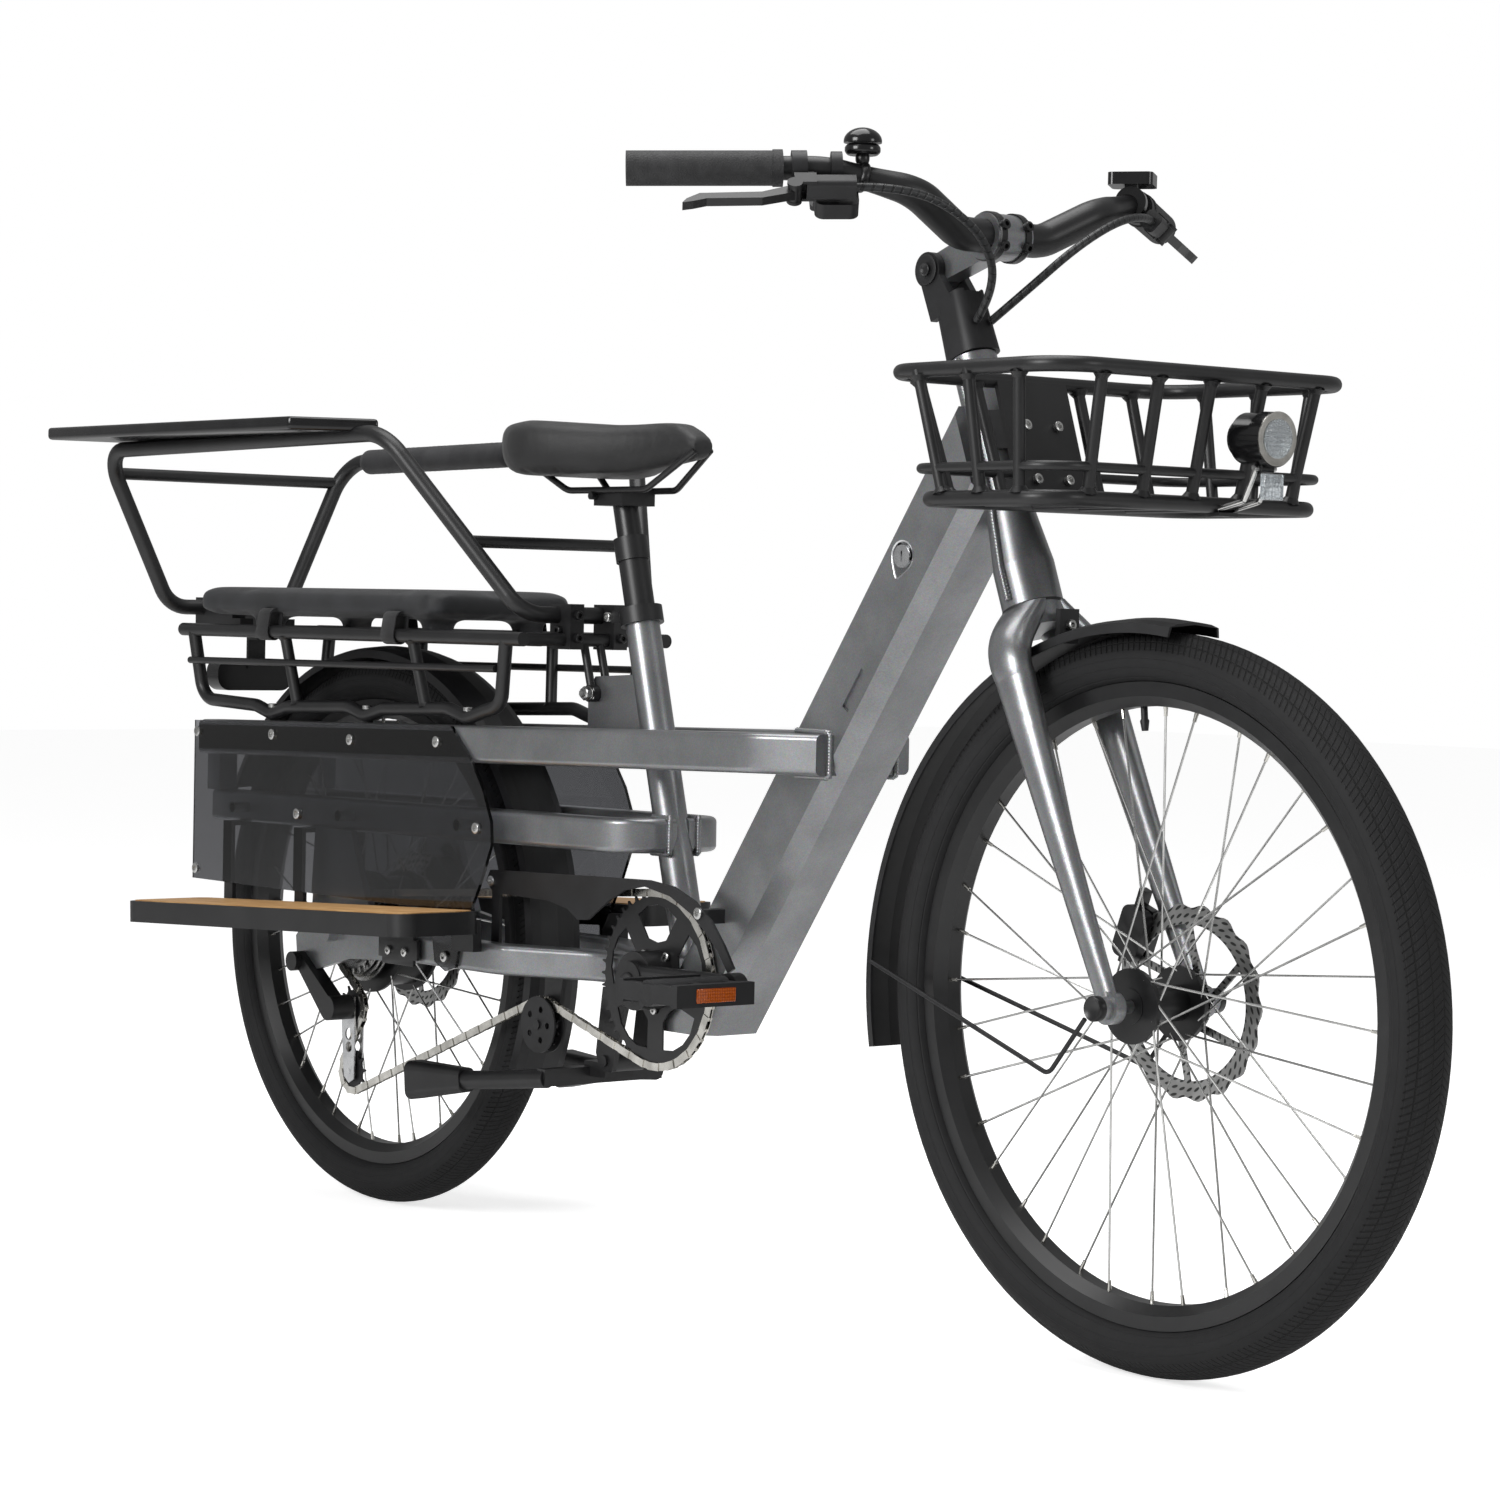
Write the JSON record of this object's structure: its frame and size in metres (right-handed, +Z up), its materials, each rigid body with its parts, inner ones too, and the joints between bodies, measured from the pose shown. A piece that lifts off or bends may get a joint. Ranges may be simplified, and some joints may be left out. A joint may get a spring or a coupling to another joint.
{
  "type": "cargo bicycle",
  "caption": "Longtail electric cargo bicycle with front basket, rear bench with passenger hoop, side panels, footboards and disc brakes.",
  "frame": {"origin": "on the ground below the middle of the bicycle's overall length and width", "axes": "+X is the riding direction, +Y is the rider's left, +Z is up; the drive side is -Y"},
  "size_m": [1.9273, 0.7058, 1.1222],
  "materials": {
    "frame_paint": "satin gunmetal paint with fine flake",
    "black_metal": "satin black powder coat",
    "black_plastic": "moulded black plastic",
    "gloss_plastic": "polished black plastic",
    "tyre": "black rubber tread",
    "rubber": "soft black rubber",
    "rim_black": "satin anodised black",
    "steel": "stainless steel",
    "chain_steel": "plated chain steel",
    "pad_vinyl": "dark grey synthetic leather",
    "saddle_vinyl": "black synthetic leather",
    "foam": "closed cell foam",
    "smoked": "smoked acrylic",
    "wood": "oiled plywood",
    "aluminium": "machined aluminium"
  },
  "bodies": {
    "frame": {"front_frame": "frame_paint", "seat_tube": "frame_paint", "top_rails": "frame_paint", "rear_frame": "frame_paint", "chainstays": "frame_paint", "rack": "black_metal", "hoop": "black_metal", "hoop_grips": "gloss_plastic", "seat_pad": "pad_vinyl", "side_panels": "smoked", "footboard_frames": "black_metal", "footboard_decks": "wood", "rear_fender": "black_plastic", "basket": "black_metal", "chain_guard": "black_plastic", "rear_light": "gloss_plastic", "rear_caliper": "black_metal", "frame_fittings": "black_metal", "chain": "chain_steel", "derailleur": "black_metal"},
    "steering": {"fork": "frame_paint", "stem_base": "black_plastic", "front_fender": "black_plastic", "front_caliper": "black_metal"},
    "bar": {"stem_arm": "black_metal", "handlebar": "black_metal", "grips": "rubber", "bar_controls": "black_plastic", "bell": "gloss_plastic", "display": "gloss_plastic", "hoses": "black_plastic"},
    "brake_lever_right": {"brake_lever_right": "black_metal"},
    "brake_lever_left": {"brake_lever_left": "black_metal"},
    "shift_lever": {"shift_lever": "black_plastic"},
    "front_wheel": {"front_tyre": "tyre", "front_rim": "rim_black", "front_spokes": "steel", "front_hub": "black_metal", "front_rotor": "steel"},
    "rear_wheel": {"rear_tyre": "tyre", "rear_rim": "rim_black", "rear_spokes": "steel", "motor_hub": "black_metal", "rear_rotor": "steel"},
    "cassette": {"cassette": "steel"},
    "crank": {"crank": "black_metal", "chainring": "black_metal"},
    "pedal_right": {"pedal_right": "black_plastic"},
    "pedal_left": {"pedal_left": "black_plastic"},
    "derailleur_cage": {"derailleur_cage": "aluminium"},
    "upper_jockey": {"upper_jockey": "black_plastic"},
    "lower_jockey": {"lower_jockey": "black_plastic"},
    "idler": {"idler": "black_plastic"},
    "stand": {"stand": "black_metal"},
    "seat_post": {"seat_post": "black_metal"},
    "sprung_post": {"sprung_post": "black_metal", "saddle": "saddle_vinyl"},
    "battery": {"battery": "black_plastic"},
    "battery_lock": {"battery_lock": "aluminium"},
    "headlight": {"headlight": "gloss_plastic"}
  },
  "joints": [
    {"name": "steer", "type": "hinge", "parent": "frame", "child": "steering", "pos_m": [0.45117, 0, 0.69636], "axis": [-0.3551, 0, 0.9348], "range_deg": [-60, 60]},
    {"name": "stem_tilt", "type": "hinge", "parent": "steering", "child": "bar", "pos_m": [0.318, 0, 1.007], "axis": [0, -1, 0], "range_deg": [-10, 25], "deforming": ["hoses"]},
    {"name": "front_wheel_spin", "type": "hinge", "parent": "steering", "child": "front_wheel", "pos_m": [0.625, 0, 0.3345], "axis": [0, 1, 0], "continuous": true},
    {"name": "rear_wheel_spin", "type": "hinge", "parent": "frame", "child": "rear_wheel", "pos_m": [-0.595, 0, 0.3085], "axis": [0, 1, 0], "continuous": true},
    {"name": "crank_turn", "type": "hinge", "parent": "frame", "child": "crank", "pos_m": [-0.038, 0, 0.302], "axis": [0, 1, 0], "continuous": true, "deforming": ["chain"]},
    {"name": "cassette_turn", "type": "hinge", "parent": "frame", "child": "cassette", "pos_m": [-0.595, 0, 0.3085], "axis": [0, 1, 0], "continuous": true},
    {"name": "idler_turn", "type": "hinge", "parent": "frame", "child": "idler", "pos_m": [-0.232, 0, 0.238], "axis": [0, 1, 0], "continuous": true},
    {"name": "upper_jockey_turn", "type": "hinge", "parent": "derailleur_cage", "child": "upper_jockey", "pos_m": [-0.592, 0, 0.224], "axis": [0, 1, 0], "continuous": true},
    {"name": "lower_jockey_turn", "type": "hinge", "parent": "derailleur_cage", "child": "lower_jockey", "pos_m": [-0.58984, 0, 0.151], "axis": [0, 1, 0], "continuous": true},
    {"name": "cage_swing", "type": "hinge", "parent": "frame", "child": "derailleur_cage", "pos_m": [-0.592, 0, 0.224], "axis": [0, 1, 0], "range_deg": [-14, 10], "stiffness_Nm_per_rad": 0.6},
    {"name": "pedal_right_spin", "type": "hinge", "parent": "crank", "child": "pedal_right", "pos_m": [0.132, -0.13, 0.31], "axis": [0, 1, 0], "continuous": true},
    {"name": "pedal_left_spin", "type": "hinge", "parent": "crank", "child": "pedal_left", "pos_m": [-0.208, 0.13, 0.294], "axis": [0, 1, 0], "continuous": true},
    {"name": "stand_fold", "type": "hinge", "parent": "frame", "child": "stand", "pos_m": [-0.15, 0, 0.206], "axis": [0, -1, 0], "range_deg": [0, 92]},
    {"name": "seat_height", "type": "slide", "parent": "frame", "child": "seat_post", "axis": [-0.2588, 0, 0.9659], "range_m": [-0.04, 0.12]},
    {"name": "seat_travel", "type": "slide", "parent": "seat_post", "child": "sprung_post", "axis": [-0.2588, 0, 0.9659], "range_m": [-0.03, 0], "stiffness_N_per_m": 20000, "springref_m": 0.002},
    {"name": "battery_out", "type": "slide", "parent": "frame", "child": "battery", "axis": [-0.8131, 0, 0.5821], "range_m": [0, 0.06]},
    {"name": "lock_turn", "type": "hinge", "parent": "frame", "child": "battery_lock", "pos_m": [0.31705, -0.0415, 0.73496], "axis": [0, -1, 0], "range_deg": [0, 90]},
    {"name": "headlight_tilt", "type": "hinge", "parent": "frame", "child": "headlight", "pos_m": [0.702, 0.041, 0.815], "axis": [0, 1, 0], "range_deg": [-15, 10]},
    {"name": "brake_right", "type": "hinge", "parent": "bar", "child": "brake_lever_right", "pos_m": [0.3793, -0.23681, 1.05804], "axis": [-0.528, 0.4116, -0.7429], "range_deg": [0, 16], "stiffness_Nm_per_rad": 0.5, "springref_deg": -5.73},
    {"name": "brake_left", "type": "hinge", "parent": "bar", "child": "brake_lever_left", "pos_m": [0.3793, 0.23681, 1.05804], "axis": [0.528, 0.4116, 0.7429], "range_deg": [0, 16], "stiffness_Nm_per_rad": 0.5, "springref_deg": -5.73},
    {"name": "shift_click", "type": "hinge", "parent": "bar", "child": "shift_lever", "pos_m": [0.37045, -0.1804, 1.04712], "axis": [0.528, -0.4116, 0.7429], "range_deg": [-12, 12], "stiffness_Nm_per_rad": 0.1}
  ],
  "couplings": [
    {"joint": "cassette_turn", "follows": "crank_turn", "ratio": 2},
    {"joint": "idler_turn", "follows": "crank_turn", "ratio": -3.3846},
    {"joint": "lower_jockey_turn", "follows": "crank_turn", "ratio": 4},
    {"joint": "upper_jockey_turn", "follows": "crank_turn", "ratio": -4}
  ]
}
